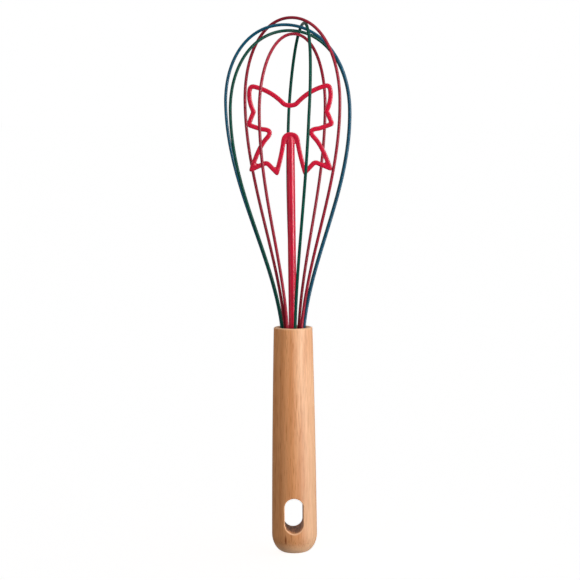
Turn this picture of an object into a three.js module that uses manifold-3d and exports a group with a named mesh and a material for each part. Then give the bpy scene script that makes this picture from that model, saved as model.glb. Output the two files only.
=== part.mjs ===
import * as THREE from 'three';
import { mergeVertices } from 'three/addons/utils/BufferGeometryUtils.js';
import Module from 'manifold-3d';

// A balloon whisk standing on its handle: five silicone-coated wire loops nested at the crown, and a
// silicone ribbon bow on a stem inside them. Millimetres, +Z up the handle's axis, +X to the right, +Y to
// the back. The origin is the centre of the flat at the handle's lower end.

// Handle, turned from beech
const handleLength = 118;
const endFlatRadius = 4.5; // flat that it stands on
const endRoundHeight = 10;
const endRadius = 11.75; // widest, at the top of the rounded end
const mouthRadius = 10.05;
const handleBelly = 0.23; // how far the side stands out from a straight taper, half way up
const mouthRound = 0.65;
const boreLip = 0.4; // small chamfer round the bore
const handleSides = 32;
const outlineSteps = 3; // in each curve of the outline

// Hanging slot, cut through the handle from front to back
const slotWidth = 9.7;
const slotHeight = 18.2;
const slotBottom = 11.5;
const slotOffset = -0.4; // its middle line from the handle's axis, to +X
const slotSteps = 6; // round each end

// Coated wire
const coreRadius = 0.45;
const coatFit = 0.05; // between the steel core and the bore of its coat
const coatWall = 0.3;
const coatRadius = coreRadius + coatFit + coatWall;
const coatSides = 8;
const coreSides = 6;

// Plug in the handle's bore, with a ring of stepped holes for the loops' legs
const legRing = 5.1;
const plugRecess = 13; // top of the plug below the mouth
const plugLength = 22;
const seatDepth = 12; // how deep the coats and the stem go into the plug
const plugWall = 1; // outside the leg holes
const plugFit = 0.2; // between the plug and the bore
const holeFit = 0.1; // round each coat and each core
const coreTail = 5; // bare core below the plug
const tailBoreStep = 1; // ledge that the plug stands on
const tailRoom = 12; // narrower bore below the ledge
const drillPoint = 3;
const holeSides = 8;

// Loops. Heights are above the mouth. Each loop is a pair of legs and a crown, in an upright plane at its
// azimuth.
const crownHeight = 159.5; // centre line of the outermost loop
const legStiffness = 44; // length of the pull that keeps a leg upright at the plug
const shoulderPull = 46; // length of the pull that keeps the loop upright where it is widest
const crownRise = 0.565; // roundness of the crown at its sides
const crownFlat = 0.6; // roundness of the crown at its top
const legSteps = 8;
const crownSteps = 9;

const loopRed = 0x9e2030;
const loopGreen = 0x145644;
const loopBlue = 0x1a3e5c;

// From the outermost at the crown to the innermost. crownGap is the drop below the loop outside it, past one
// coat diameter, and is negative where two loops cross on their slopes. lean is how far the crown has
// settled sideways, to +X and to +Y.
const loops = [
  {
    name: 'outer_red', colour: loopRed, azimuth: -43, halfWidth: 32.6,
    widest: 117.1, crownGap: 0, lean: [0.2, 0.5],
  },
  {
    name: 'narrow_green', colour: loopGreen, azimuth: -82.5, halfWidth: 32.9,
    widest: 110, crownGap: 1.2, lean: [6.9, 1.7],
  },
  {
    name: 'blue', colour: loopBlue, azimuth: -8.5, halfWidth: 32.2,
    widest: 113.8, crownGap: -0.8, lean: [-3.5, 2.9],
  },
  {
    name: 'wide_green', colour: loopGreen, azimuth: 19, halfWidth: 32.7,
    widest: 111.8, crownGap: 1.4, lean: [-1, 3.5],
  },
  {
    name: 'inner_red', colour: loopRed, azimuth: 58, halfWidth: 33.2,
    widest: 113, crownGap: 0.1, lean: [1.1, -3],
  },
];

// Ribbon bow and stem: a steel frame inside one silicone moulding
const bowHeight = 99.7; // top of the bow's arch above the mouth, on its centre line
const bowLean = -0.3; // degrees, to +X
const bowWireRadius = 0.6;
const rodRadius = 1.2;
const frameFit = 0.08; // between the frame and the moulding
const bowSkin = 0.52;
const stemSkin = 0.82;
const stemFit = 0.2; // round the stem and its rod in the plug
const stemGap = 0.3; // under the stem, above its seat in the plug
const bowRadius = bowWireRadius + frameFit + bowSkin;
const stemRadius = rodRadius + frameFit + stemSkin;
const stemTaper = 5; // drawn-in top of the stem, under the arch
const webDepth = 4.7; // web between the stem and the arch, below the arch's top
const webThickness = 2;
const bowSides = 8;
const wireSides = 6;
const stemSides = 16;
const stemTopSteps = 2;
const curveSteps = 3;

// Corners of the bow's right half from the middle of its top edge round to the arch over the stem, across
// and up from the arch's top. round is the stretch of edge that a corner's curve takes up, bulge how far the
// edge after a corner bows out to the left of travel, and tip marks a fold where the line turns back.
const bowCorners = [
  { at: [2.5, 14.9], round: 1.6, bulge: 1.5 },
  { at: [20.2, 25.2], round: 2, bulge: 1.1 },
  { at: [18.8, 11.8], round: 0, bulge: 0 },
  { at: [21.5, 5.2], round: 1, bulge: 0.5 },
  { at: [8.2, 2.5], round: 6.1, bulge: 1.3 },
  { at: [20.2, -17.7], round: 0, bulge: 0, tip: true },
  { at: [12.4, -14.3], round: 1.4, bulge: 0 },
  { at: [7.3, -19.6], round: 0, bulge: 0.4, tip: true },
  { at: [3.2, 0], round: 3.2, bulge: 0 },
];

const wasm = await Module();
wasm.setup();

const weld = 1e-4;
const overlap = 0.5; // how far joined solids run into each other

function solid(geometry) {
  geometry.deleteAttribute('normal');
  geometry.deleteAttribute('uv');
  const merged = mergeVertices(geometry, weld);
  const triVerts = [];
  for (let k = 0; k < merged.index.count; k += 3) {
    const [a, b, c] = [0, 1, 2].map((j) => merged.index.getX(k + j));
    if (a !== b && b !== c && c !== a) triVerts.push(a, b, c);
  }
  return new wasm.Manifold(new wasm.Mesh({
    numProp: 3,
    vertProperties: new Float32Array(merged.attributes.position.array),
    triVerts: new Uint32Array(triVerts),
  }));
}

function geometryOf(body) {
  const mesh = body.getMesh();
  const geometry = new THREE.BufferGeometry();
  geometry.setAttribute('position', new THREE.BufferAttribute(mesh.vertProperties, 3));
  geometry.setIndex(new THREE.BufferAttribute(mesh.triVerts, 1));
  geometry.computeVertexNormals();
  return geometry;
}

function joined(bodies) {
  return bodies.reduce((sum, body) => sum.add(body));
}

function polygon(radius, sides, x = 0, y = 0) {
  return Array.from({ length: sides }, (_, k) => {
    const angle = (2 * Math.PI * k) / sides;
    return new THREE.Vector2(x + radius * Math.cos(angle), y + radius * Math.sin(angle));
  });
}

// A path through given points. Its cross-sections are mitred, so that a tube swept along it keeps its width
// at the corners. across is square to the plane that the path bends in.
class MitredPath extends THREE.Curve {
  constructor(points, across) {
    super();
    this.points = points;
    this.across = across;
  }

  getSpacedPoints() {
    return this.points;
  }

  computeFrenetFrames() {
    const frames = { tangents: [], normals: [], binormals: [] };
    const last = this.points.length - 1;
    const heading = (k) => new THREE.Vector3().subVectors(this.points[k + 1], this.points[k]).normalize();
    this.points.forEach((_, k) => {
      const before = heading(Math.max(k - 1, 0));
      const after = heading(Math.min(k, last - 1));
      const tangent = before.clone().add(after).normalize();
      const binormal = this.across.clone().addScaledVector(tangent, -this.across.dot(tangent)).normalize();
      const normal = binormal.clone().cross(tangent).divideScalar(tangent.dot(before));
      frames.tangents.push(tangent);
      frames.normals.push(normal);
      frames.binormals.push(binormal);
    });
    return frames;
  }
}

function sweep(points, across, section) {
  return new THREE.ExtrudeGeometry(section, {
    steps: points.length - 1,
    extrudePath: new MitredPath(points, across),
  });
}

function turned(profile, sides) {
  const geometry = new THREE.LatheGeometry(profile, sides);
  geometry.rotateX(Math.PI / 2);
  return geometry;
}

const point = (x, y) => new THREE.Vector2(x, y);

// Heights that the pieces share
const plugTop = handleLength - plugRecess;
const plugBottom = plugTop - plugLength;
const seat = plugTop - seatDepth;
const coreFoot = plugBottom - coreTail;
const plugRadius = legRing + coatRadius + holeFit + plugWall;
const boreRadius = plugRadius + plugFit;

function handleGeometry() {
  const outline = new THREE.Path();
  outline.moveTo(0, 0);
  outline.lineTo(endFlatRadius, 0);
  const endRound = endRadius - endFlatRadius;
  outline.absellipse(endFlatRadius, endRoundHeight, endRound, endRoundHeight, -Math.PI / 2, 0);
  const sideTop = handleLength - mouthRound;
  const middleRadius = (endRadius + mouthRadius) / 2 + 2 * handleBelly;
  outline.quadraticCurveTo(middleRadius, (endRoundHeight + sideTop) / 2, mouthRadius, sideTop);
  outline.absarc(mouthRadius - mouthRound, sideTop, mouthRound, 0, Math.PI / 2);
  outline.lineTo(boreRadius + boreLip, handleLength);
  outline.lineTo(boreRadius, handleLength - boreLip);
  outline.lineTo(boreRadius, plugBottom);
  outline.lineTo(boreRadius - tailBoreStep, plugBottom);
  outline.lineTo(boreRadius - tailBoreStep, plugBottom - tailRoom);
  outline.lineTo(0, plugBottom - tailRoom - drillPoint);
  const blank = solid(turned(outline.getPoints(outlineSteps), handleSides));

  const slotRadius = slotWidth / 2;
  const slot = new THREE.Shape();
  slot.absarc(slotOffset, slotBottom + slotRadius, slotRadius, Math.PI, 2 * Math.PI);
  slot.absarc(slotOffset, slotBottom + slotHeight - slotRadius, slotRadius, 0, Math.PI);
  const depth = 2 * (endRadius + overlap);
  const cutter = new THREE.ExtrudeGeometry(slot, { depth, bevelEnabled: false, curveSegments: slotSteps });
  cutter.rotateX(Math.PI / 2);
  cutter.translate(0, depth / 2, 0);
  return geometryOf(blank.subtract(solid(cutter)));
}

// Feet of all the loops' legs, seen from above
const legFeet = loops.flatMap(({ azimuth }) => [0, 180].map((turn) => {
  const angle = THREE.MathUtils.degToRad(azimuth + turn);
  return point(legRing * Math.cos(angle), legRing * Math.sin(angle));
}));

function plugGeometry() {
  const leanRoom = plugLength * Math.tan(THREE.MathUtils.degToRad(Math.abs(bowLean)));
  const layer = (bottom, top, legHole, stemHole) => {
    const disc = new THREE.Shape(polygon(plugRadius, handleSides));
    const holes = legFeet.map((foot) => polygon(legHole, holeSides, foot.x, foot.y));
    holes.push(polygon(stemHole, stemSides));
    disc.holes = holes.map((points) => new THREE.Path(points));
    const geometry = new THREE.ExtrudeGeometry(disc, { depth: top - bottom, bevelEnabled: false });
    geometry.translate(0, 0, bottom);
    return solid(geometry);
  };
  const upper = layer(seat - overlap, plugTop, coatRadius + holeFit, stemRadius + stemFit + leanRoom);
  const lower = layer(plugBottom, seat, coreRadius + holeFit, rodRadius + stemFit + leanRoom);
  return geometryOf(upper.add(lower));
}

// Centre line of a loop from foot to foot: straight in the plug, then flaring out to its widest and over the
// crown
function loopLine(loop, foot) {
  const angle = THREE.MathUtils.degToRad(loop.azimuth);
  const widest = handleLength + loop.widest;
  const place = (radius, z) => {
    const share = Math.max(0, (z - plugTop) / (loop.top - plugTop));
    return new THREE.Vector3(
      radius * Math.cos(angle) + loop.lean[0] * share ** 2,
      radius * Math.sin(angle) + loop.lean[1] * share ** 2,
      z,
    );
  };
  const half = (side) => {
    const leg = new THREE.CubicBezierCurve3(
      place(side * legRing, plugTop),
      place(side * legRing, plugTop + legStiffness),
      place(side * loop.halfWidth, widest - shoulderPull),
      place(side * loop.halfWidth, widest),
    );
    const crown = new THREE.CubicBezierCurve3(
      place(side * loop.halfWidth, widest),
      place(side * loop.halfWidth, widest + crownRise * (loop.top - widest)),
      place(side * loop.halfWidth * crownFlat, loop.top),
      place(0, loop.top),
    );
    const rise = [...leg.getPoints(legSteps), ...crown.getPoints(crownSteps).slice(1)];
    return [place(side * legRing, foot), ...rise];
  };
  const points = [...half(-1), ...half(1).reverse().slice(1)];
  const across = new THREE.Vector3(-Math.sin(angle), Math.cos(angle), 0);
  return { points, across };
}

function coatGeometry(loop) {
  const { points, across } = loopLine(loop, seat);
  const section = new THREE.Shape(polygon(coatRadius, coatSides));
  section.holes.push(new THREE.Path(polygon(coreRadius + coatFit, coreSides)));
  return sweep(points, across, section);
}

function coreGeometry(loop) {
  const { points, across } = loopLine(loop, coreFoot);
  return sweep(points, across, new THREE.Shape(polygon(coreRadius, coreSides)));
}

// The bow's half outline as strokes that end at its tips
function bowStrokes() {
  const ends = bowCorners.map(({ at }) => point(...at));
  ends.push(point(0, bowCorners.at(-1).at[1]));
  const start = point(0, bowCorners[0].at[1]);
  const strokes = [];
  let stroke = new THREE.Path().moveTo(start.x - overlap, start.y).lineTo(start.x, start.y);
  bowCorners.forEach(({ round, bulge, tip }, k) => {
    const [corner, next] = [ends[k], ends[k + 1]];
    const along = next.clone().sub(corner);
    const aside = point(-along.y, along.x).normalize();
    const pull = corner.clone().add(next).divideScalar(2).addScaledVector(aside, 2 * bulge);
    const leave = corner.clone().addScaledVector(pull.clone().sub(corner).normalize(), round);
    const nextRound = bowCorners[k + 1]?.round ?? 0;
    const arrive = next.clone().addScaledVector(pull.clone().sub(next).normalize(), nextRound);
    if (round > 0) stroke.quadraticCurveTo(corner.x, corner.y, leave.x, leave.y);
    if (tip) {
      strokes.push(stroke);
      stroke = new THREE.Path().moveTo(corner.x, corner.y);
    }
    if (k === bowCorners.length - 1) return;
    if (bulge) stroke.quadraticCurveTo(pull.x, pull.y, arrive.x, arrive.y);
    else stroke.lineTo(arrive.x, arrive.y);
  });
  stroke.lineTo(-overlap, ends.at(-1).y);
  strokes.push(stroke);
  return strokes.map((path) => path.getPoints(curveSteps));
}

// Heights in the bow's own frame, which stands on the plug's seat
const archTop = handleLength + bowHeight - seat;
const rodFoot = coreFoot - seat;

// The bow's closed line as a round bar, with a bead at each tip
function bowLine(radius, sides) {
  const across = new THREE.Vector3(0, 1, 0);
  const section = new THREE.Shape(polygon(radius, sides));
  const tips = bowCorners.filter(({ tip }) => tip);
  const halves = [1, -1].flatMap((side) => {
    const bars = bowStrokes().map((points) => (
      solid(sweep(points.map(({ x, y }) => new THREE.Vector3(side * x, 0, archTop + y)), across, section))
    ));
    const beads = tips.map(({ at }) => (
      solid(new THREE.OctahedronGeometry(radius, 1).translate(side * at[0], 0, archTop + at[1]))
    ));
    return [...bars, ...beads];
  });
  return joined(halves);
}

// A round bar on the stem's axis, drawn in at its top
function stemBar(radius, bottom, top) {
  const outline = new THREE.Path().moveTo(0, bottom).lineTo(radius, bottom);
  outline.absellipse(0, top - stemTaper, radius, stemTaper, 0, Math.PI / 2);
  return solid(turned(outline.getPoints(stemTopSteps), stemSides));
}

function frameBody(clearance) {
  const line = bowLine(bowWireRadius + clearance, wireSides);
  return line.add(stemBar(rodRadius + clearance, rodFoot, archTop + clearance));
}

function bowFrameGeometry() {
  return geometryOf(frameBody(0));
}

function bowOvermouldGeometry() {
  const [arch, innerTip] = [bowCorners.at(-1).at, bowCorners.at(-2).at];
  const webHalf = arch[0] + ((innerTip[0] - arch[0]) * webDepth) / (arch[1] - innerTip[1]);
  const web = new THREE.Shape([
    point(-webHalf, -webDepth), point(webHalf, -webDepth), point(arch[0] / 2, 0), point(-arch[0] / 2, 0),
  ]);
  const webGeometry = new THREE.ExtrudeGeometry(web, { depth: webThickness, bevelEnabled: false });
  webGeometry.rotateX(Math.PI / 2);
  webGeometry.translate(0, webThickness / 2, archTop);
  const stem = stemBar(stemRadius, stemGap, archTop);
  const moulding = joined([bowLine(bowRadius, bowSides), stem, solid(webGeometry)]);
  return geometryOf(moulding.subtract(frameBody(frameFit)));
}

function piece(name, geometry, colour, roughness, metalness = 0) {
  const material = new THREE.MeshStandardMaterial({ color: colour, roughness, metalness });
  const mesh = new THREE.Mesh(geometry, material);
  mesh.name = name;
  return mesh;
}

const steel = [0xb9bcc0, 0.3, 1];
const silicone = 0.45;

const whisk = new THREE.Group();
whisk.add(piece('wooden_handle', handleGeometry(), 0xd6a476, 0.6));
whisk.add(piece('wire_plug', plugGeometry(), 0x2b2a2c, 0.7));

let top = handleLength + crownHeight;
loops.forEach((loop, k) => {
  if (k > 0) top -= 2 * coatRadius + loop.crownGap;
  loop.top = top;
  whisk.add(piece(`${loop.name}_coat`, coatGeometry(loop), loop.colour, silicone));
  whisk.add(piece(`${loop.name}_core`, coreGeometry(loop), ...steel));
});

const bow = new THREE.Group();
bow.position.z = seat;
bow.rotation.y = THREE.MathUtils.degToRad(bowLean);
bow.add(piece('bow_overmould', bowOvermouldGeometry(), 0xcd193c, silicone));
bow.add(piece('bow_frame', bowFrameGeometry(), ...steel));
whisk.add(bow);

export default whisk;
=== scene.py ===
import math

import bmesh
import bpy
from mathutils import Matrix, Vector


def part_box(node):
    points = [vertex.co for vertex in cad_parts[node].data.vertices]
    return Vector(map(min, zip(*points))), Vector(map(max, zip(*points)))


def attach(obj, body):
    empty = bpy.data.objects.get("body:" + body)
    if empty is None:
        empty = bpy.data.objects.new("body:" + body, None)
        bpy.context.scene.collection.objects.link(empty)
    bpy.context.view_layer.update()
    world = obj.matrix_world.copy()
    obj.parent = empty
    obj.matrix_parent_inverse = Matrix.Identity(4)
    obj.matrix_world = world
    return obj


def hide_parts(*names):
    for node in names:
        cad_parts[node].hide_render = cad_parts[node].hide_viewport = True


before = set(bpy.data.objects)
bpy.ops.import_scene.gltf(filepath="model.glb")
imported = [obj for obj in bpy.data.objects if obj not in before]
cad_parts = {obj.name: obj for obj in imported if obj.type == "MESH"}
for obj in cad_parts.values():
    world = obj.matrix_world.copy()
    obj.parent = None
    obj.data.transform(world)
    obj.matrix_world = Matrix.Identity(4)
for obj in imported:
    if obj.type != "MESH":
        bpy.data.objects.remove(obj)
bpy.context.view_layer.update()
scene = bpy.context.scene
mm = 0.001
print("frame loaded:", len(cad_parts), "nodes")


# Nodes of shader and geometry trees alike: inputs are other nodes' sockets, or values
def addNode(tree, kind, inputs=None, **settings):
    node = tree.nodes.new(kind)
    for key, value in settings.items():
        setattr(node, key, value)
    for key, value in (inputs or {}).items():
        if isinstance(value, bpy.types.NodeSocket):
            tree.links.new(value, node.inputs[key])
        else:
            node.inputs[key].default_value = value
    return node


def linearColour(red, green, blue):  # from 0 to 255, as a screen shows it
    def channel(value):
        share = value / 255
        return share / 12.92 if share <= 0.04045 else ((share + 0.055) / 1.055) ** 2.4
    return (channel(red), channel(green), channel(blue), 1)


def newMaterial(name, **shader):
    material = bpy.data.materials.new(name)
    material.use_nodes = True
    principled = material.node_tree.nodes["Principled BSDF"]
    for key, value in shader.items():
        principled.inputs[key.replace("_", " ")].default_value = value
    return material, material.node_tree, principled


def inMillimetres(tree, stretch=(1, 1, 1)):  # Object coordinates, squeezed along the axes by stretch
    place = addNode(tree, "ShaderNodeTexCoord")
    settings = {"Vector": place.outputs["Object"], "Scale": [share / mm for share in stretch]}
    return addNode(tree, "ShaderNodeMapping", settings).outputs[0]


def noise(tree, vector, scale=1, detail=2, roughness=0.5):
    settings = {"Vector": vector, "Scale": scale, "Detail": detail, "Roughness": roughness}
    return addNode(tree, "ShaderNodeTexNoise", settings).outputs["Fac"]


def mapRange(tree, value, low, high, toLow=0, toHigh=1, curve="SMOOTHSTEP"):
    settings = {"Value": value, "From Min": low, "From Max": high, "To Min": toLow, "To Max": toHigh}
    return addNode(tree, "ShaderNodeMapRange", settings, interpolation_type=curve).outputs["Result"]


noiseSpread = (0.3, 0.7)  # where most of a noise's values lie


def sums(tree, operation, *values):
    inputs = dict(enumerate(values))
    return addNode(tree, "ShaderNodeMath", inputs, operation=operation).outputs[0]


def mixColour(tree, share, first, second, blend="MIX"):
    node = addNode(tree, "ShaderNodeMix", data_type="RGBA", blend_type=blend)
    for key, value in zip((0, 6, 7), (share, first, second)):
        if isinstance(value, bpy.types.NodeSocket):
            tree.links.new(value, node.inputs[key])
        else:
            node.inputs[key].default_value = value
    return node.outputs[2]


def addBump(tree, principled, height, distance, strength=1):
    settings = {"Height": height, "Distance": distance * mm, "Strength": strength}
    bump = addNode(tree, "ShaderNodeBump", settings)
    tree.links.new(bump.outputs["Normal"], principled.inputs["Normal"])


def paint(tree, principled, colour, roughness):
    tree.links.new(colour, principled.inputs["Base Color"])
    tree.links.new(roughness, principled.inputs["Roughness"])


# Beech: soft growth rings and grain lines that run up the handle, long flecks, and fine fibre.
# A noise has its scale per millimetre across and along the handle, and its detail and roughness.
# A range gives the values of a noise between which a mark sets in.
beech = {
    "pale": linearColour(231, 183, 144),
    "warm": linearColour(214, 149, 98),
    "paleSide": (-3.5, 7),  # across the handle in x, from the warm side to the pale one: partly the wood's own tone, partly painted light towards the key light
    "drift": 3,  # how far the tone strays across
    "driftNoise": (0.16, 0.008, 3),
    "lowEnd": (115, 8),  # heights between which the wood turns warmer
    "lowShift": -4.5,  # how far that moves the warm side across
    "lowShade": 0.86,  # and how much darker it gets
    "line": linearColour(186, 110, 58),
    "pith": (-46, 30, 0),  # middle of the growth rings, beside the handle
    "ringSpacing": 4.73,
    "ringWander": 5,
    "wanderNoise": (0.05, 0.009),
    "ringWaver": 1.3,
    "waverNoise": (0.45, 0.035, 3),
    "lateStart": (0, 0.2),  # shares of a ring in which its dark line sets in and fades
    "lateFade": (0.85, 0.2),
    "ringDepth": (0.1, 0.4),  # where a ring is faint and where it is strong
    "ringNoise": (0.12, 0.02),
    "ringRange": (0.35, 0.65),
    "grainDepth": 0.34,
    "grainNoise": (1.9, 0.03, 3),
    "grainRange": (0.5, 0.72),
    "fleck": linearColour(174, 104, 56),
    "fleckDepth": (0.6, 0.22),  # on the warm side and on the pale one, where painted light makes them fainter
    "fleckNoise": (1.7, 0.13, 2),
    "fleckRange": (0.53, 0.7),
    "fibreDepth": (0.87, 1.11),  # least and most of the tone
    "fibreNoise": (4.5, 0.13, 3, 0.6),
    "paintedLight": linearColour(233, 190, 152),  # painted light on the slot's rounded edge, the mouth's rim and the rounded end
    "paintedLightDepth": 0.7,
    "streak": linearColour(134, 66, 30),  # one dark streak under the slot
    "streakAt": (-4.9, -10.4, 8),
    "streakSize": (0.8, 2, 3.6),
    "streakEdge": (1, 0.2),
    "streakDepth": 0.92,
    "cut": linearColour(210, 148, 96),  # raw wood inside the slot, darker as painted shade of the recess, with darker streaks through it
    "cutStreak": linearColour(160, 106, 62),
    "cutNoise": (1.1, 0.15, 0.03),  # across, through and up the slot
    "cutDetail": 3,
    "cutRange": (0.4, 0.62),
    "gloss": (0.44, 0.58),  # least and most roughness
    "shine": 0.155,
    "relief": 0.06,
    "reliefStrength": 0.5,
}


def beechMaterial():
    material, tree, principled = newMaterial("beech", Specular_IOR_Level=beech["shine"])
    place = inMillimetres(tree)
    across = addNode(tree, "ShaderNodeSeparateXYZ", {0: place}).outputs

    def vectors(operation, first, second=None):
        inputs = {0: first} if second is None else {0: first, 1: second}
        return addNode(tree, "ShaderNodeVectorMath", inputs, operation=operation).outputs

    def streaky(sideways, upright, detail=2, roughness=0.5):  # noise drawn out along the handle
        return noise(tree, inMillimetres(tree, (sideways, sideways, upright)), 1, detail, roughness)

    def times(first, second):
        return sums(tree, "MULTIPLY", first, second)

    fromPith = vectors("SUBTRACT", place, beech["pith"])[0]
    reach = vectors("LENGTH", vectors("MULTIPLY", fromPith, (1, 1, 0))[0])["Value"]
    wander = streaky(*beech["wanderNoise"])
    shifted = sums(tree, "MULTIPLY_ADD", wander, beech["ringWander"], reach)
    waver = streaky(*beech["waverNoise"])
    wavered = sums(tree, "MULTIPLY_ADD", waver, beech["ringWaver"], shifted)
    ringShare = sums(tree, "FRACT", sums(tree, "DIVIDE", wavered, beech["ringSpacing"]))
    started = mapRange(tree, ringShare, *beech["lateStart"])
    lateWood = times(started, mapRange(tree, ringShare, *beech["lateFade"]))
    strength = mapRange(tree, streaky(*beech["ringNoise"]), *beech["ringRange"], *beech["ringDepth"])
    lines = mapRange(tree, streaky(*beech["grainNoise"]), *beech["grainRange"])
    fibre = streaky(*beech["fibreNoise"])

    low = mapRange(tree, across["Z"], *beech["lowEnd"], 0, beech["lowShift"])
    strayed = sums(tree, "MULTIPLY_ADD", streaky(*beech["driftNoise"]), beech["drift"], across["X"])
    tone = sums(tree, "ADD", strayed, low)
    # The pale side is partly painted light, on the side that the key light falls on
    paleShare = mapRange(tree, tone, *beech["paleSide"])
    fleckDepth = mapRange(tree, paleShare, 0, 1, *beech["fleckDepth"], "LINEAR")
    flecks = times(mapRange(tree, streaky(*beech["fleckNoise"]), *beech["fleckRange"]), fleckDepth)
    body = mixColour(tree, paleShare, beech["warm"], beech["pale"])
    ringed = mixColour(tree, times(lateWood, strength), body, beech["line"])
    grained = mixColour(tree, times(lines, beech["grainDepth"]), ringed, beech["line"])
    flecked = mixColour(tree, flecks, grained, beech["fleck"])
    dim = mapRange(tree, across["Z"], *beech["lowEnd"], 1, beech["lowShade"])
    fine = mapRange(tree, fibre, *noiseSpread, *beech["fibreDepth"], "LINEAR")
    fibrous = mixColour(tree, 1, flecked, times(dim, fine), "MULTIPLY")

    # The mesh marks painted light with 1 (highlights on the slot's edge and the rim, light from below on
    # the end) and the inside of the slot with -1
    edge = addNode(tree, "ShaderNodeAttribute", attribute_name="paintedLight").outputs["Fac"]
    # Painted light: the pale colour laid over the highlights and the lit end, with the fibre through it
    lighter = mixColour(tree, 1, beech["paintedLight"], fine, "MULTIPLY")
    lightPainted = mixColour(tree, times(edge, beech["paintedLightDepth"]), fibrous, lighter)
    away = vectors("DIVIDE", vectors("SUBTRACT", place, beech["streakAt"])[0], beech["streakSize"])[0]
    distance = vectors("LENGTH", away)["Value"]
    streakShare = times(mapRange(tree, distance, *beech["streakEdge"]), beech["streakDepth"])
    streaked = mixColour(tree, streakShare, lightPainted, beech["streak"])
    # Inside the slot: raw wood with streaks, darkened as painted shade of the recess
    sawn = noise(tree, inMillimetres(tree, beech["cutNoise"]), 1, beech["cutDetail"])
    slotShaded = mixColour(tree, mapRange(tree, sawn, *beech["cutRange"]), beech["cut"], beech["cutStreak"])
    colour = mixColour(tree, mapRange(tree, edge, 0, -1), streaked, slotShaded)

    paint(tree, principled, colour, mapRange(tree, fibre, *noiseSpread, *beech["gloss"], "LINEAR"))
    height = sums(tree, "SUBTRACT", fibre, flecks)
    addBump(tree, principled, height, beech["relief"], beech["reliefStrength"])
    return material


# Moulded or dipped silicone: satin, a little uneven in tone and gloss
silicone = {
    "mottle": 0.18,  # how much darker the tone gets in places
    "cloudNoise": (0.09, 3),  # scale per millimetre, and detail
    "waveNoise": (0.35, 2),
    "waviness": 0.003,
    "waveStrength": 0.4,
    "bloom": 0.35,  # soft sheen of the rubbery skin at grazing angles
    "bloomRoughness": 0.4,
    "red": {"base": linearColour(159, 31, 52), "shine": 0.24, "gloss": (0.3, 0.4)},
    "green": {"base": linearColour(5, 74, 60), "shine": 0.105, "gloss": (0.3, 0.4)},
    "blue": {"base": linearColour(10, 82, 108), "shine": 0.24, "gloss": (0.3, 0.4)},
    "crimson": {"base": linearColour(207, 5, 51), "shine": 0.7, "gloss": (0.27, 0.33),
                "tint": (1, 0.72, 0.75, 1)},  # tint of its highlights
}


def siliconeMaterial(name):
    look = silicone[name]
    base = look["base"]
    material, tree, principled = newMaterial(
        name + "Silicone",
        Specular_IOR_Level=look["shine"], Specular_Tint=look.get("tint", (1, 1, 1, 1)),
        Sheen_Weight=silicone["bloom"], Sheen_Roughness=silicone["bloomRoughness"], Sheen_Tint=base,
    )
    cloud = noise(tree, inMillimetres(tree), *silicone["cloudNoise"])
    waves = noise(tree, inMillimetres(tree), *silicone["waveNoise"])
    deep = [channel * (1 - silicone["mottle"]) for channel in base[:3]] + [1]
    colour = mixColour(tree, mapRange(tree, cloud, *noiseSpread), base, deep)
    paint(tree, principled, colour, mapRange(tree, cloud, *noiseSpread, *look["gloss"], "LINEAR"))
    addBump(tree, principled, waves, silicone["waviness"], silicone["waveStrength"])
    return material


# Drawn spring wire, with fine lines that run up it
springWire = {
    "bright": (0.62, 0.63, 0.65, 1),
    "dull": (0.45, 0.46, 0.48, 1),
    "lines": (3, 3, 0.2),  # scale of their noise per millimetre
    "lineDetail": 3,
    "gloss": (0.22, 0.4),
}


def wireMaterial():
    material, tree, principled = newMaterial("springSteel", Metallic=1)
    lines = noise(tree, inMillimetres(tree, springWire["lines"]), detail=springWire["lineDetail"])
    colour = mixColour(tree, mapRange(tree, lines, *noiseSpread), springWire["bright"], springWire["dull"])
    paint(tree, principled, colour, mapRange(tree, lines, *noiseSpread, *springWire["gloss"], "LINEAR"))
    return material


# Moulded nylon of the plug, dark and slightly mottled
nylon = {
    "dark": (0.012, 0.012, 0.013, 1),
    "lighter": (0.03, 0.029, 0.028, 1),
    "mottle": (0.7, 4),  # scale per millimetre, and detail
    "gloss": (0.5, 0.68),
    "shine": 0.4,
    "relief": 0.03,
    "reliefStrength": 0.5,
}


def nylonMaterial():
    material, tree, principled = newMaterial("plugNylon", Specular_IOR_Level=nylon["shine"])
    cloud = noise(tree, inMillimetres(tree), *nylon["mottle"])
    colour = mixColour(tree, mapRange(tree, cloud, *noiseSpread), nylon["dark"], nylon["lighter"])
    paint(tree, principled, colour, mapRange(tree, cloud, *noiseSpread, *nylon["gloss"], "LINEAR"))
    addBump(tree, principled, cloud, nylon["relief"], nylon["reliefStrength"])
    return material


materials = {name: siliconeMaterial(name) for name in ("red", "green", "blue", "crimson")}
materials["beech"] = beechMaterial()
materials["wire"] = wireMaterial()
materials["nylon"] = nylonMaterial()
print("materials made:", len(materials))


def pieceFrom(mesh, name, material, slot, *nodes):
    for face in mesh.polygons:
        face.use_smooth = True
    mesh.materials.clear()
    mesh.materials.append(material)
    piece = bpy.data.objects.new(name, mesh)
    scene.collection.objects.link(piece)
    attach(piece, "root")
    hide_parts(*nodes)
    return piece


def meshFrom(name, points, faces, paintedLight, weld=0.0005):
    build = bmesh.new()
    layer = build.verts.layers.float.new("paintedLight")
    corners = [build.verts.new(Vector(point) * mm) for point in points]
    for corner, share in zip(corners, paintedLight):
        corner[layer] = share
    for face in faces:
        build.faces.new([corners[k] for k in face])
    bmesh.ops.remove_doubles(build, verts=build.verts, dist=weld * mm)
    bmesh.ops.dissolve_degenerate(build, edges=build.edges, dist=weld * mm)
    bmesh.ops.recalc_face_normals(build, faces=build.faces)
    mesh = bpy.data.meshes.new(name)
    build.to_mesh(mesh)
    build.free()
    return mesh


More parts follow.
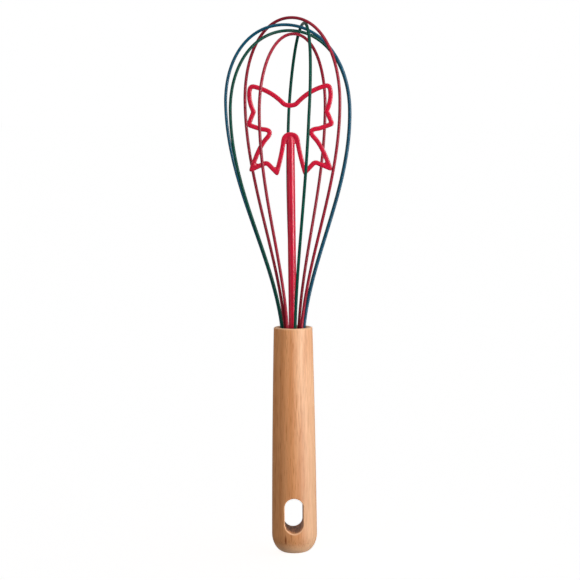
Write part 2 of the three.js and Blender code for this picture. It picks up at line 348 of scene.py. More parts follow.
# Handle: turned rows from the flat end up the outside and down the bore, with the slot's mouths let in
handle = {
    "length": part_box("wooden_handle")[1].z / mm,
    "endFlatRadius": 4.5,
    "endRoundHeight": 10,
    "endRadius": 11.75,
    "mouthRadius": 10.05,
    "belly": 0.23,
    "mouthRound": 0.65,
    "boreRadius": 7.2,
    "boreLip": 0.4,
    "boreFloor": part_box("wire_plug")[0].z / mm,
    "tailRadius": 6.2,
    "tailRoom": 12,
    "drillPoint": 3,
    "slotWidth": 9.7,
    "slotHeight": 18.2,
    "slotBottom": 11.5,
    "slotOffset": -0.4,
    "slotRound": (0.5, 0.9),  # softened edge of the slot, at its sides and at its lower end
    "endLightHeight": 6.5,  # up to which light from below is painted on the rounded end
    "endLightMost": 1.55,
    "endLightFall": 1.1,  # how fast that fades upwards
    "windowLow": 4,  # heights that the mesh round the slot covers
    "windowHigh": 38,
    "windowTurn": 45,  # degrees to each side of the slot
    "windowRings": (0, 0.2, 0.4, 0.58, 0.74, 0.88, 1),  # from the window's border to the slot's edge
    "slotRings": (0.9, 0.75, 0.5, 0.25, 0),  # from there to the middle of the slot
    "sides": 128,
    "endRows": 10,
    "windowRows": 24,
    "windowSpread": 1.4,  # sets those rows closer at the low end
    "sideRows": 30,
    "roundSteps": 8,  # over a rounded edge
    "boreRows": 8,
}


def handleRadius(z):
    h = handle
    if z < h["endRoundHeight"]:
        drop = 1 - z / h["endRoundHeight"]
        return h["endFlatRadius"] + (h["endRadius"] - h["endFlatRadius"]) * math.sqrt(1 - drop * drop)
    sideTop = h["length"] - h["mouthRound"]
    share = (z - h["endRoundHeight"]) / (sideTop - h["endRoundHeight"])
    middle = (h["endRadius"] + h["mouthRadius"]) / 2 + 2 * h["belly"]
    start, pull, end = (1 - share) ** 2, 2 * share * (1 - share), share ** 2
    return start * h["endRadius"] + pull * middle + end * h["mouthRadius"]


# Painted light from below on the rounded end, strongest at the bottom
def paintedEndLight(z):
    return handle["endLightMost"] * max(0, 1 - z / handle["endLightHeight"]) ** handle["endLightFall"]


def steps(low, high, count):
    return [low + (high - low) * k / count for k in range(count + 1)]


def handleMesh():
    h = handle
    sideTop = h["length"] - h["mouthRound"]
    lowTurn = math.acos(1 - h["windowLow"] / h["endRoundHeight"])
    lowTurns = steps(0, lowTurn, h["endRows"])
    lowRows = [h["endRoundHeight"] * (1 - math.cos(turn)) for turn in lowTurns]
    windowReach = h["windowHigh"] - h["windowLow"]
    windowShares = [share ** h["windowSpread"] for share in steps(0, 1, h["windowRows"])]
    windowRows = [h["windowLow"] + windowReach * share for share in windowShares]
    highRows = steps(h["windowHigh"], sideTop, h["sideRows"])

    rows = [(0, 0), (h["endFlatRadius"] / 2, 0)]
    rows += [(handleRadius(z), z) for z in lowRows[:-1] + windowRows[:-1] + highRows]
    turns = [math.radians(angle) for angle in steps(0, 90, h["roundSteps"])]
    rim = h["mouthRadius"] - h["mouthRound"]
    for turn in turns[1:]:
        rows.append((rim + h["mouthRound"] * math.cos(turn), sideTop + h["mouthRound"] * math.sin(turn)))
    lipMiddle = h["boreRadius"] + h["boreLip"]
    lipTop = h["length"] - h["boreLip"]
    for turn in turns[::2]:
        rows.append((lipMiddle - h["boreLip"] * math.sin(turn), lipTop + h["boreLip"] * math.cos(turn)))
    rows += [(h["boreRadius"], z) for z in steps(lipTop, h["boreFloor"], h["boreRows"])[1:]]
    tailFloor = h["boreFloor"] - h["tailRoom"]
    rows += [(h["tailRadius"], h["boreFloor"]), (h["tailRadius"], tailFloor)]
    rows.append((0, tailFloor - h["drillPoint"]))

    sides = h["sides"]
    windowTurn = math.radians(h["windowTurn"])
    outsideBore = 1.001 * h["boreRadius"]
    points = []
    paintedLight = []
    # Painted light for each point: a highlight over the mouth's rim, and light from below on the rounded
    # end
    for radius, z in rows:
        onRim = sideTop < z and radius > outsideBore
        for k in range(sides):
            turn = 2 * math.pi * k / sides
            points.append((radius * math.sin(turn), -radius * math.cos(turn), z))
            paintedLight.append((z - sideTop) / h["mouthRound"] if onRim else paintedEndLight(z))

    def inWindow(row, k):
        middle = 2 * math.pi * (k + 0.5) / sides
        fromSlot = abs(math.remainder(middle, math.pi))
        between = h["windowLow"] < (rows[row][1] + rows[row + 1][1]) / 2 < h["windowHigh"]
        return between and fromSlot < windowTurn and rows[row][0] > h["boreRadius"]

    faces = []
    for row in range(len(rows) - 1):
        for k in range(sides):
            if inWindow(row, k):
                continue
            after = (k + 1) % sides
            low, high = row * sides, (row + 1) * sides
            faces.append((low + k, low + after, high + after, high + k))

    # The rectangle round the slot and the slot's own outline, matched point for point
    across = sides * h["windowTurn"] // 180
    radius = h["slotWidth"] / 2
    lowCentre = h["slotBottom"] + radius
    highCentre = h["slotBottom"] + h["slotHeight"] - radius
    border = [(turn, windowRows[0]) for turn in steps(-windowTurn, windowTurn, across)[:-1]]
    border += [(windowTurn, z) for z in windowRows[:-1]]
    border += [(turn, windowRows[-1]) for turn in steps(windowTurn, -windowTurn, across)[:-1]]
    border += [(-windowTurn, z) for z in windowRows[:0:-1]]
    outline = [(math.cos(turn), math.sin(turn), lowCentre) for turn in steps(-math.pi, 0, across)[:-1]]
    outline += [(1, 0, z) for z in steps(lowCentre, highCentre, len(windowRows) - 1)[:-1]]
    outline += [(math.cos(turn), math.sin(turn), highCentre) for turn in steps(0, math.pi, across)[:-1]]
    outline += [(-1, 0, z) for z in steps(highCentre, lowCentre, len(windowRows) - 1)[:-1]]

    def slotPoint(k, offset):
        right, up, centre = outline[k]
        return h["slotOffset"] + (radius + offset) * right, centre + (radius + offset) * up

    def edgeRound(k):
        atSide, atEnd = h["slotRound"]
        return atSide + (atEnd - atSide) * max(0, -outline[k][1])

    def ringOf(share):  # from the rectangle at 0 to the start of the rounded edge at 1
        ring = []
        for k, (turn, z) in enumerate(border):
            x, slotZ = slotPoint(k, edgeRound(k))
            slotTurn = math.asin(x / handleRadius(slotZ))
            height = z + (slotZ - z) * share
            angle = turn + (slotTurn - turn) * share
            reach = handleRadius(height)
            ring.append((reach * math.sin(angle), reach * math.cos(angle), height))
        return ring

    def roundedRing(turn):  # over the edge and into the slot
        ring = []
        for k in range(len(border)):
            x, z = slotPoint(k, edgeRound(k) * (1 - math.sin(turn)))
            depth = edgeRound(k) * (1 - math.cos(turn))
            ring.append((x, math.sqrt(handleRadius(z) ** 2 - x * x) - depth, z))
        return ring

    # Painted highlight over the slot's rounded edge, and -1 for the inside of the slot
    rings = [(0, ringOf(share)) for share in h["windowRings"]]
    rings += [(math.sin(2 * turn), roundedRing(turn)) for turn in turns[1:]]
    inner = rings[-1][1]
    rings += [(-1, [(x, y * share, z) for x, y, z in inner]) for share in h["slotRings"]]
    count = len(border)
    for side in (-1, 1):
        start = len(points)
        for lightPainted, ring in rings:
            points += [(x, side * y, z) for x, y, z in ring]
            paintedLight += [lightPainted + paintedEndLight(z) for x, y, z in ring]
        for row in range(len(rings) - 1):
            for k in range(count):
                after = (k + 1) % count
                low, high = start + row * count, start + (row + 1) * count
                faces.append((low + k, low + after, high + after, high + k))
    return meshFrom("beechHandle", points, faces, paintedLight)


pieceFrom(handleMesh(), "beech_handle", materials["beech"], "beech", "wooden_handle")
print("handle made")


# Geometry Nodes: a tree with named float inputs and a material, and what it gives as a plain mesh
def newTree(name, sizes):
    tree = bpy.data.node_groups.new(name, "GeometryNodeTree")
    tree.interface.new_socket("Geometry", in_out="INPUT", socket_type="NodeSocketGeometry")
    for size in sizes:
        tree.interface.new_socket(size, in_out="INPUT", socket_type="NodeSocketFloat")
    tree.interface.new_socket("Material", in_out="INPUT", socket_type="NodeSocketMaterial")
    tree.interface.new_socket("Geometry", in_out="OUTPUT", socket_type="NodeSocketGeometry")
    return tree, tree.nodes.new("NodeGroupInput").outputs


def endTree(tree, geometry, given):
    smooth = addNode(tree, "GeometryNodeSetShadeSmooth", {"Geometry": geometry})
    real = addNode(tree, "GeometryNodeRealizeInstances", {"Geometry": smooth.outputs[0]})
    painted = addNode(
        tree, "GeometryNodeSetMaterial", {"Geometry": real.outputs[0], "Material": given["Material"]}
    )
    addNode(tree, "NodeGroupOutput", {"Geometry": painted.outputs[0]})


def meshOf(tree, name, sizes, material, points=()):
    seed = bpy.data.meshes.new(name + "Seed")
    seed.from_pydata([Vector(point) * mm for point in points], [], [])
    worker = bpy.data.objects.new(name + "Worker", seed)
    scene.collection.objects.link(worker)
    modifier = worker.modifiers.new("tree", "NODES")
    modifier.node_group = tree
    for item in tree.interface.items_tree:
        if item.in_out == "INPUT" and item.name in sizes:
            modifier[item.identifier] = float(sizes[item.name])
        if item.in_out == "INPUT" and item.name == "Material":
            modifier[item.identifier] = material
    depsgraph = bpy.context.evaluated_depsgraph_get()
    mesh = bpy.data.meshes.new_from_object(worker.evaluated_get(depsgraph))
    worker.modifiers.clear()
    bpy.data.objects.remove(worker)
    bpy.data.meshes.remove(seed)
    build = bmesh.new()
    build.from_mesh(mesh)
    bmesh.ops.recalc_face_normals(build, faces=build.faces)
    build.to_mesh(mesh)
    build.free()
    mesh.name = name
    return mesh


# Loops: what they share, then each one from the outermost at the crown to the innermost
loopShape = {
    "Coat Radius": 0.8,
    "Leg Ring": 5.1,
    "Foot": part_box("outer_red_coat")[0].z / mm,
    "Plug Top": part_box("wire_plug")[1].z / mm,
    "Leg Stiffness": 44,
    "Shoulder Pull": 46,
    "Crown Rise": 0.565,
    "Crown Flat": 0.6,
    "Foot Share": 0.06,  # shares of half a loop's points for the foot, and up to the widest
    "Widest Share": 0.64,
    "Points": 241,
    "Round": 20,  # points round the coat
}
loopHeights = {"mouth": handle["length"], "crown": 159.5, "coat": 2 * loopShape["Coat Radius"]}
bendSteps = 96  # of each bent stretch, before the loop's points are laid on it
loops = [
    {"name": "outer_red", "colour": "red", "turn": -43, "halfWidth": 32.6,
     "widest": 117.1, "gap": 0, "lean": (0.2, 0.5)},
    {"name": "narrow_green", "colour": "green", "turn": -82.5, "halfWidth": 32.9,
     "widest": 110, "gap": 1.2, "lean": (6.9, 1.7)},
    {"name": "blue", "colour": "blue", "turn": -8.5, "halfWidth": 32.2,
     "widest": 113.8, "gap": -0.8, "lean": (-3.5, 2.9)},
    {"name": "wide_green", "colour": "green", "turn": 19, "halfWidth": 32.7,
     "widest": 111.8, "gap": 1.4, "lean": (-1, 3.5)},
    {"name": "inner_red", "colour": "red", "turn": 58, "halfWidth": 33.2,
     "widest": 113, "gap": 0.1, "lean": (1.1, -3)},
]


# A loop is drawn flat, as radius, share of the lean and height, and then turned and leaned into place
def loopTree():
    sizes = list(loopShape) + ["Turn", "Half Width", "Widest", "Top", "Lean X", "Lean Y"]
    tree, given = newTree("coatedLoop", sizes)

    def maths(operation, *values):
        return sums(tree, operation, *values)

    def shareOf(value, low, high):
        return maths("DIVIDE", maths("SUBTRACT", value, low), maths("SUBTRACT", high, low))

    def flatPoint(radius, height):
        share = shareOf(height, given["Plug Top"], given["Top"])
        lean = maths("POWER", maths("MAXIMUM", share, 0), 2)
        return addNode(tree, "ShaderNodeCombineXYZ", {"X": radius, "Y": lean, "Z": height}).outputs[0]

    def bent(start, startPull, endPull, end):
        settings = {"Start": start, "Start Handle": startPull, "End Handle": endPull, "End": end}
        settings["Resolution"] = bendSteps
        bend = addNode(tree, "GeometryNodeCurvePrimitiveBezierSegment", settings, mode="POSITION")
        return bend.outputs[0]

    def straight(start, end):
        return addNode(tree, "GeometryNodeCurvePrimitiveLine", {"Start": start, "End": end}).outputs[0]

    def along(curve, share):
        settings = {"Curves": curve, "Factor": share}
        return addNode(tree, "GeometryNodeSampleCurve", settings, mode="FACTOR").outputs["Position"]

    def switch(test, off, on):
        settings = {"Switch": test, "False": off, "True": on}
        return addNode(tree, "GeometryNodeSwitch", settings, input_type="VECTOR").outputs[0]

    ring, width, top, widest = given["Leg Ring"], given["Half Width"], given["Top"], given["Widest"]
    plugTop = flatPoint(ring, given["Plug Top"])
    shoulder = flatPoint(width, widest)
    rise = maths("MULTIPLY_ADD", given["Crown Rise"], maths("SUBTRACT", top, widest), widest)
    foot = straight(flatPoint(ring, given["Foot"]), plugTop)
    leg = bent(plugTop, flatPoint(ring, maths("ADD", given["Plug Top"], given["Leg Stiffness"])),
               flatPoint(width, maths("SUBTRACT", widest, given["Shoulder Pull"])), shoulder)
    crown = bent(shoulder, flatPoint(width, rise),
                 flatPoint(maths("MULTIPLY", width, given["Crown Flat"]), top), flatPoint(0, top))

    count = addNode(tree, "FunctionNodeFloatToInt", {0: given["Points"]}).outputs[0]
    settings = {"Curve": straight((0, 0, 0), (0, 0, 1)), "Count": count}
    dotted = addNode(tree, "GeometryNodeResampleCurve", settings).outputs[0]
    place = addNode(tree, "GeometryNodeSplineParameter").outputs["Factor"]
    signed = maths("MULTIPLY_ADD", place, 2, -1)
    side = maths("SIGN", signed)
    climb = maths("SUBTRACT", 1, maths("ABSOLUTE", signed))
    footShare, widestShare = given["Foot Share"], given["Widest Share"]
    onFoot = along(foot, maths("DIVIDE", climb, footShare))
    onLeg = along(leg, shareOf(climb, footShare, widestShare))
    onCrown = along(crown, shareOf(climb, widestShare, 1))
    low = switch(maths("GREATER_THAN", climb, footShare), onFoot, onLeg)
    whole = switch(maths("GREATER_THAN", climb, widestShare), low, onCrown)
    flat = addNode(tree, "ShaderNodeSeparateXYZ", {0: whole}).outputs

    turn = maths("RADIANS", given["Turn"])
    radius = maths("MULTIPLY", flat["X"], side)
    lean = flat["Y"]
    x = maths("MULTIPLY_ADD", radius, maths("COSINE", turn), maths("MULTIPLY", lean, given["Lean X"]))
    y = maths("MULTIPLY_ADD", radius, maths("SINE", turn), maths("MULTIPLY", lean, given["Lean Y"]))
    inSpace = addNode(tree, "ShaderNodeCombineXYZ", {"X": x, "Y": y, "Z": flat["Z"]}).outputs[0]
    metres = addNode(tree, "ShaderNodeVectorMath", {0: inSpace, "Scale": mm}, operation="SCALE").outputs[0]
    bentLine = addNode(tree, "GeometryNodeSetPosition", {"Geometry": dotted, "Position": metres}).outputs[0]
    sides = addNode(tree, "FunctionNodeFloatToInt", {0: given["Round"]}).outputs[0]
    settings = {"Resolution": sides, "Radius": maths("MULTIPLY", given["Coat Radius"], mm)}
    section = addNode(tree, "GeometryNodeCurvePrimitiveCircle", settings, mode="RADIUS").outputs[0]
    settings = {"Curve": bentLine, "Profile Curve": section, "Fill Caps": True}
    tube = addNode(tree, "GeometryNodeCurveToMesh", settings).outputs[0]
    endTree(tree, tube, given)
    return tree


def makeLoops():
    tree = loopTree()
    top = loopHeights["mouth"] + loopHeights["crown"]
    for k, loop in enumerate(loops):
        if k > 0:
            top -= loopHeights["coat"] + loop["gap"]
        sizes = dict(loopShape)
        sizes.update({
            "Turn": loop["turn"],
            "Half Width": loop["halfWidth"],
            "Widest": loopHeights["mouth"] + loop["widest"],
            "Top": top,
            "Lean X": loop["lean"][0],
            "Lean Y": loop["lean"][1],
        })
        material = materials[loop["colour"]]
        mesh = meshOf(tree, loop["name"] + "Loop", sizes, material)
        pieceFrom(mesh, loop["name"] + "_loop", material, "loop_" + loop["colour"], loop["name"] + "_coat")
        print("loop made:", loop["name"], len(mesh.polygons), "faces")


makeLoops()

# Bow: the line of a tied ribbon as a bar with a flattened face, on a stem, moulded in one
bow = {
    "seat": loopShape["Foot"],
    "archTop": handle["length"] + 99.7,
    "lean": -0.3,  # degrees, more is to +X
    "barRadius": 1.2,
    "barSquareness": 4.5,  # 2 is a round bar, more has a flatter face
    "stemRadius": 2.1,
    "stemGap": 0.3,
    "stemTaper": 5,  # drawn-in top of the stem, under the arch
    "foldFill": 0.45,  # size of the bead that fills a fold, as a share of the bar
    "foldPoint": 0.6,  # size of the bead that points a fold's tip, and how far out it lies
    "webDepth": 4.7,
    "webThickness": 2,
    "overlap": 0.5,  # of the two halves, past the middle
    "barSides": 24,
    "stemSides": 48,
    "stemTopRows": 12,
    "curveSteps": 14,
    "beadDetail": 3,
    "weld": 1e-5,
    "voxel": 0.22,
    "smoothing": 8,
    "smoothShare": 0.5,
}
# Corners of the right half, across and up from the arch's top. round is the stretch that a corner's
# curve takes up, bulge how far the edge after it bows out to the left of travel, and tip a fold where
# the ribbon turns back.
bowCorners = [
    {"at": (2.5, 14.9), "round": 1.6, "bulge": 1.5},
    {"at": (20.2, 25.2), "round": 2, "bulge": 1.1},
    {"at": (18.8, 11.8), "round": 0, "bulge": 0},
    {"at": (21.5, 5.2), "round": 1, "bulge": 0.5},
    {"at": (8.2, 2.5), "round": 6.1, "bulge": 1.3},
    {"at": (20.2, -17.7), "round": 0, "bulge": 0, "tip": True},
    {"at": (12.4, -14.3), "round": 1.4, "bulge": 0},
    {"at": (7.3, -19.6), "round": 0, "bulge": 0.4, "tip": True},
    {"at": (3.2, 0), "round": 3.2, "bulge": 0},
]


def bowStrokes():
    corners = [Vector(corner["at"]) for corner in bowCorners]
    corners.append(Vector((0, corners[-1].y)))
    past = -bow["overlap"]

    def curve(start, pull, end):
        shares = [k / bow["curveSteps"] for k in range(1, bow["curveSteps"] + 1)]
        return [start * (1 - s) ** 2 + pull * 2 * s * (1 - s) + end * s * s for s in shares]

    strokes = []
    stroke = [Vector((past, corners[0].y)), Vector((0, corners[0].y))]
    for k, given in enumerate(bowCorners):
        corner, after = corners[k], corners[k + 1]
        along = after - corner
        aside = Vector((-along.y, along.x)).normalized()
        pull = (corner + after) / 2 + aside * 2 * given["bulge"]
        nextRound = bowCorners[k + 1]["round"] if k + 1 < len(bowCorners) else 0
        leave = corner + (pull - corner).normalized() * given["round"]
        arrive = after + (pull - after).normalized() * nextRound
        if given["round"]:
            stroke += curve(stroke[-1], corner, leave)
        if given.get("tip"):
            strokes.append(stroke)
            stroke = [corner]
        if k + 1 < len(bowCorners):
            stroke += curve(stroke[-1], pull, arrive) if given["bulge"] else [arrive]
    stroke.append(Vector((past, corners[-1].y)))
    strokes.append(stroke)
    return strokes


# A bar along a line in the bow's plane, with its sections mitred at the corners
def addBar(build, line, side):
    rings = []
    for k, at in enumerate(line):
        before = (line[max(k, 1)] - line[max(k, 1) - 1]).normalized()
        after = (line[min(k + 1, len(line) - 1)] - line[min(k, len(line) - 2)]).normalized()
        heading = (before + after).normalized()
        aside = Vector((-heading.y, heading.x)) / heading.dot(before)
        ring = []
        for step in range(bow["barSides"]):
            turn = 2 * math.pi * step / bow["barSides"]
            sideways, outward = [
                math.copysign(bow["barRadius"] * abs(share) ** (2 / bow["barSquareness"]), share)
                for share in (math.cos(turn), math.sin(turn))
            ]
            flat = at + aside * sideways
            ring.append(build.verts.new((side * flat.x, outward, flat.y)))
        rings.append(ring)
    for low, high in zip(rings, rings[1:]):
        for step in range(bow["barSides"]):
            after = (step + 1) % bow["barSides"]
            build.faces.new((low[step], low[after], high[after], high[step]))
    build.faces.new(rings[0])
    build.faces.new(rings[-1][::-1])


def bowMesh():
    build = bmesh.new()
    for side in (1, -1):
        for stroke in bowStrokes():
            addBar(build, stroke, side)
        for k, corner in enumerate(bowCorners):
            if not corner.get("tip"):
                continue
            tip = Vector(corner["at"])
            back = (Vector(bowCorners[k - 1]["at"]) - tip).normalized()
            ahead = (Vector(bowCorners[k + 1]["at"]) - tip).normalized()
            crease = bow["barRadius"] / math.sin(back.angle(ahead) / 2)
            fill = tip + (back + ahead).normalized() * crease
            point = tip - (back + ahead).normalized() * bow["barRadius"] * bow["foldPoint"]
            for (x, z), size in ((tip, 1), (fill, bow["foldFill"]), (point, bow["foldPoint"])):
                bead = {"radius": bow["barRadius"] * size, "matrix": Matrix.Translation((side * x, 0, z))}
                bmesh.ops.create_icosphere(build, subdivisions=bow["beadDetail"], **bead)

    stemFoot = bow["seat"] + bow["stemGap"] - bow["archTop"]
    rows = [(0, stemFoot), (bow["stemRadius"], stemFoot)]
    for turn in steps(0, math.pi / 2, bow["stemTopRows"]):
        rows.append((bow["stemRadius"] * math.cos(turn), bow["stemTaper"] * (math.sin(turn) - 1)))
    rings = []
    for radius, z in rows:
        ring = []
        for k in range(bow["stemSides"]):
            turn = 2 * math.pi * k / bow["stemSides"]
            ring.append(build.verts.new((radius * math.cos(turn), radius * math.sin(turn), z)))
        rings.append(ring)
    for low, high in zip(rings, rings[1:]):
        for k in range(bow["stemSides"]):
            after = (k + 1) % bow["stemSides"]
            build.faces.new((low[k], low[after], high[after], high[k]))

    arch, innerTip = bowCorners[-1]["at"], bowCorners[-2]["at"]
    webHalf = arch[0] + (innerTip[0] - arch[0]) * bow["webDepth"] / (arch[1] - innerTip[1])
    low, high = -bow["webDepth"], 0
    outline = [(-webHalf, low), (webHalf, low), (arch[0] / 2, high), (-arch[0] / 2, high)]
    front = [build.verts.new((x, -bow["webThickness"] / 2, z)) for x, z in outline]
    back = [build.verts.new((x, bow["webThickness"] / 2, z)) for x, z in outline]
    build.faces.new(front)
    build.faces.new(back[::-1])
    for k in range(len(outline)):
        after = (k + 1) % len(outline)
        build.faces.new((front[k], back[k], back[after], front[after]))

    bmesh.ops.remove_doubles(build, verts=build.verts, dist=bow["weld"])
    bmesh.ops.recalc_face_normals(build, faces=build.faces)
    mesh = bpy.data.meshes.new("bow")
    build.to_mesh(mesh)
    build.free()

    # One skin over the bars, the stem and the web, with the joins softened as in a mould
    worker = bpy.data.objects.new("bowWorker", mesh)
    scene.collection.objects.link(worker)
    remesh = worker.modifiers.new("skin", "REMESH")
    remesh.mode = "VOXEL"
    remesh.voxel_size = bow["voxel"]
    smooth = worker.modifiers.new("soften", "SMOOTH")
    smooth.factor = bow["smoothShare"]
    smooth.iterations = bow["smoothing"]
    depsgraph = bpy.context.evaluated_depsgraph_get()
    skin = bpy.data.meshes.new_from_object(worker.evaluated_get(depsgraph))
    bpy.data.objects.remove(worker)
    bpy.data.meshes.remove(mesh)

    toSeat = Matrix.Translation((0, 0, bow["archTop"] - bow["seat"]))
    turned = Matrix.Rotation(math.radians(bow["lean"]), 4, "Y")
    inPlace = Matrix.Scale(mm, 4) @ Matrix.Translation((0, 0, bow["seat"])) @ turned @ toSeat
    skin.transform(inPlace)
    skin.name = "bowOnStem"
    return skin


bowPiece = pieceFrom(bowMesh(), "bow_on_stem", materials["crimson"], "bow_red", "bow_overmould")
print("bow made:", len(bowPiece.data.polygons), "faces")

# Plug: a disc with a hole for each leg and one for the stem, filled and drawn down into the bore
plugFit = {"leg": 0.1, "stem": 0.3}  # room round a leg and round the stem
plugPoints = {"leg": 24, "stem": 48, "rim": 96}  # round a hole and round the rim
plugWeld = 1e-6  # metres
flatFace = 0.5  # how upright a face's normal is where it is shaded flat
plug = {
    "Plug Radius": 7,
    "Leg Hole": loopShape["Coat Radius"] + plugFit["leg"],
    "Stem Hole": bow["stemRadius"] + plugFit["stem"],
    "Top": loopShape["Plug Top"],
    "Length": 22,
}


def plugTree():
    tree, given = newTree("drilledPlug", plug)

    def circle(radius, points):
        size = sums(tree, "MULTIPLY", radius, mm)
        settings = {"Resolution": points, "Radius": size}
        return addNode(tree, "GeometryNodeCurvePrimitiveCircle", settings, mode="RADIUS").outputs[0]

    def upwards(height, unit):
        inMetres = sums(tree, "MULTIPLY", height, unit)
        return addNode(tree, "ShaderNodeCombineXYZ", {"Z": inMetres}).outputs[0]

    settings = {"Points": given["Geometry"], "Instance": circle(given["Leg Hole"], plugPoints["leg"])}
    holes = addNode(tree, "GeometryNodeInstanceOnPoints", settings).outputs[0]
    real = addNode(tree, "GeometryNodeRealizeInstances", {"Geometry": holes}).outputs[0]
    rim = circle(given["Plug Radius"], plugPoints["rim"])
    stemHole = circle(given["Stem Hole"], plugPoints["stem"])
    outline = addNode(tree, "GeometryNodeJoinGeometry")
    for curve in (rim, stemHole, real):
        tree.links.new(curve, outline.inputs[0])
    disc = addNode(tree, "GeometryNodeFillCurve", {"Curve": outline.outputs[0]}).outputs[0]
    settings = {"Geometry": disc, "Translation": upwards(given["Top"], mm)}
    raised = addNode(tree, "GeometryNodeTransform", settings).outputs[0]
    drop = upwards(given["Length"], -mm)
    settings = {"Mesh": raised, "Offset": drop, "Offset Scale": 1, "Individual": False}
    drawn = addNode(tree, "GeometryNodeExtrudeMesh", settings, mode="FACES").outputs[0]
    both = addNode(tree, "GeometryNodeJoinGeometry")
    tree.links.new(raised, both.inputs[0])
    tree.links.new(drawn, both.inputs[0])
    settings = {"Geometry": both.outputs[0], "Distance": plugWeld}
    closed = addNode(tree, "GeometryNodeMergeByDistance", settings).outputs[0]
    endTree(tree, closed, given)
    return tree


def makePlug():
    feet = []
    reach = loopShape["Leg Ring"]
    for loop in loops:
        for turn in (loop["turn"], loop["turn"] + 180):
            angle = math.radians(turn)
            feet.append((reach * math.cos(angle), reach * math.sin(angle), 0))
    mesh = meshOf(plugTree(), "drilledPlug", plug, materials["nylon"], feet)
    piece = pieceFrom(mesh, "drilled_plug", materials["nylon"], "plug", "wire_plug")
    for face in piece.data.polygons:
        face.use_smooth = abs(face.normal.z) < flatFace
    print("plug made:", len(mesh.polygons), "faces")


makePlug()

# The steel inside the coats and the bow keeps its CAD shape
for name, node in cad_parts.items():
    if name.endswith("_core") or name == "bow_frame":
        node.data.materials.clear()
        node.data.materials.append(materials["wire"])
print("steel finished")

# Stage: pale floor, soft light, and the camera of the photograph
stage = {
    "floorSize": 12,
    "floorColour": (0.9, 0.9, 0.9, 1),
    "floorRoughness": 0.9,
    "floorGlow": 0.82,  # makes the floor white, with the surround's light
    "surround": 0.2,
    "flags": 0.1,  # how much of the surround dark flags keep out of reflections
    "backdrop": (0.7, 0.95),  # how squarely behind the whisk the white backdrop starts and is full
    "backdropShare": 0.5,  # how much of it shows in reflections
    "aim": (0, 0, 0.14),  # where the softboxes point
    # A softbox that isn't mirrored only shades, and one that doesn't shade only shows in reflections
    "softboxes": [
        {"name": "key", "at": (1.45, -1.133, 0.3), "size": (1.1, 1.6), "power": 37, "mirrored": False},
        {"name": "strip", "at": (1.45, -1.133, 0.3), "size": (0.45, 1.6), "power": 72, "shades": False},
        {"name": "fill", "at": (-1.58, -0.91, 0.3), "size": (0.25, 1.4), "power": 3},
        {"name": "front", "at": (-1.16, -1.39, 0.4), "size": (1.2, 1.2), "power": 6, "mirrored": False},
        {"name": "back", "at": (0, 1.75, 0.02), "size": (0.4, 0.1), "power": 14, "mirrored": False},
        {"name": "overhead", "at": (0.15, -0.3, 1.5), "size": (2, 2), "power": 15},
    ],
}


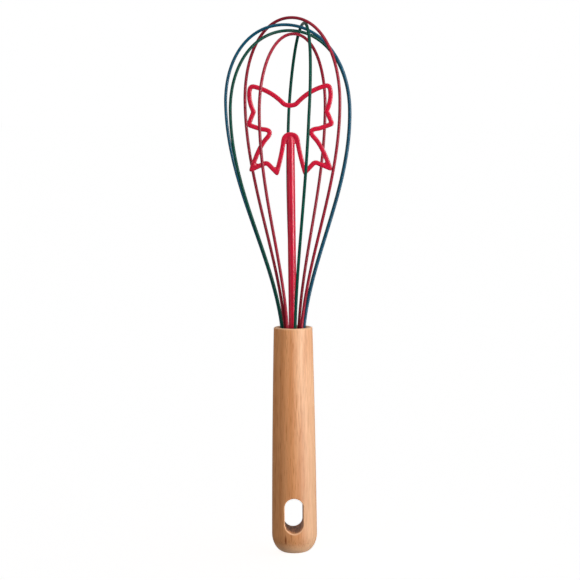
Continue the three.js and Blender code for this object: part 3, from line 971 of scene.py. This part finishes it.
def makeStage():
    floorMesh = bpy.data.meshes.new("floor")
    half = stage["floorSize"] / 2
    corners = [(-half, -half, 0), (half, -half, 0), (half, half, 0), (-half, half, 0)]
    floorMesh.from_pydata(corners, [], [(0, 1, 2, 3)])
    floor = bpy.data.objects.new("floor", floorMesh)
    scene.collection.objects.link(floor)
    material = newMaterial(
        "paleFloor", Base_Color=stage["floorColour"], Roughness=stage["floorRoughness"],
        Emission_Color=(1, 1, 1, 1), Emission_Strength=stage["floorGlow"],
    )[0]
    floorMesh.materials.append(material)
    floor.visible_diffuse = False
    floor.visible_glossy = False
    floor.visible_shadow = False
    # The softboxes pass the floor by, so that it stays evenly white
    unlit = bpy.data.collections.new("unlit")
    unlit.objects.link(floor)
    unlit.collection_objects[0].light_linking.link_state = "EXCLUDE"

    world = bpy.data.worlds.new("surround")
    scene.world = world
    world.use_nodes = True
    tree = world.node_tree
    sky = tree.nodes["Background"]
    sky.inputs["Color"].default_value = (1, 1, 1, 1)
    rays = addNode(tree, "ShaderNodeLightPath").outputs
    towards = addNode(tree, "ShaderNodeTexCoord").outputs["Generated"]
    backwards = addNode(tree, "ShaderNodeSeparateXYZ", {0: towards}).outputs["Y"]
    behind = mapRange(tree, backwards, *stage["backdrop"])
    shown = sums(tree, "MULTIPLY", rays["Is Glossy Ray"], stage["backdropShare"])
    mirrored = sums(tree, "MULTIPLY", behind, shown)
    white = sums(tree, "MAXIMUM", mirrored, rays["Is Camera Ray"])
    dim = sums(tree, "MULTIPLY_ADD", rays["Is Glossy Ray"], -stage["flags"], stage["surround"])
    tree.links.new(mapRange(tree, white, 0, 1, dim, 1, "LINEAR"), sky.inputs["Strength"])

    for box in stage["softboxes"]:
        light = bpy.data.lights.new(box["name"], "AREA")
        light.shape = "RECTANGLE"
        light.size, light.size_y = box["size"]
        light.energy = box["power"]
        lamp = bpy.data.objects.new(box["name"], light)
        lamp.location = box["at"]
        toObject = Vector(stage["aim"]) - Vector(box["at"])
        lamp.rotation_euler = toObject.to_track_quat("-Z", "Y").to_euler()
        lamp.light_linking.receiver_collection = unlit
        lamp.visible_glossy = box.get("mirrored", True)
        lamp.visible_diffuse = box.get("shades", True)
        scene.collection.objects.link(lamp)
    scene.view_settings.view_transform = "Standard"


photoView = {
    "azimuth": -1.311,
    "elevation": 5.712,
    "roll": -0.416,
    "distance": 1371,
    "target": (-1.46, 0, 137.3),
    "pixelsPerMillimetre": 1.9328,
    "framePixels": 580,
    "sensorWidth": 36,
    "clip": (0.05, 50),  # metres
}


def makeCamera():
    view = photoView
    azimuth, elevation = math.radians(view["azimuth"]), math.radians(view["elevation"])
    level = math.cos(elevation)
    back = Vector((math.sin(azimuth) * level, -math.cos(azimuth) * level, math.sin(elevation)))
    right = Vector((math.cos(azimuth), math.sin(azimuth), 0))
    up = back.cross(right)
    axes = Matrix((right, up, back)).transposed() @ Matrix.Rotation(math.radians(view["roll"]), 3, "Z")
    data = bpy.data.cameras.new("photoCamera")
    data.sensor_width = view["sensorWidth"]
    data.lens = view["distance"] * view["pixelsPerMillimetre"] * view["sensorWidth"] / view["framePixels"]
    data.clip_start, data.clip_end = view["clip"]
    camera = bpy.data.objects.new("photoCamera", data)
    standing = Matrix.Translation((Vector(view["target"]) + back * view["distance"]) * mm)
    camera.matrix_world = standing @ axes.to_4x4()
    scene.collection.objects.link(camera)
    scene.camera = camera


makeStage()
makeCamera()
print("stage and camera made")
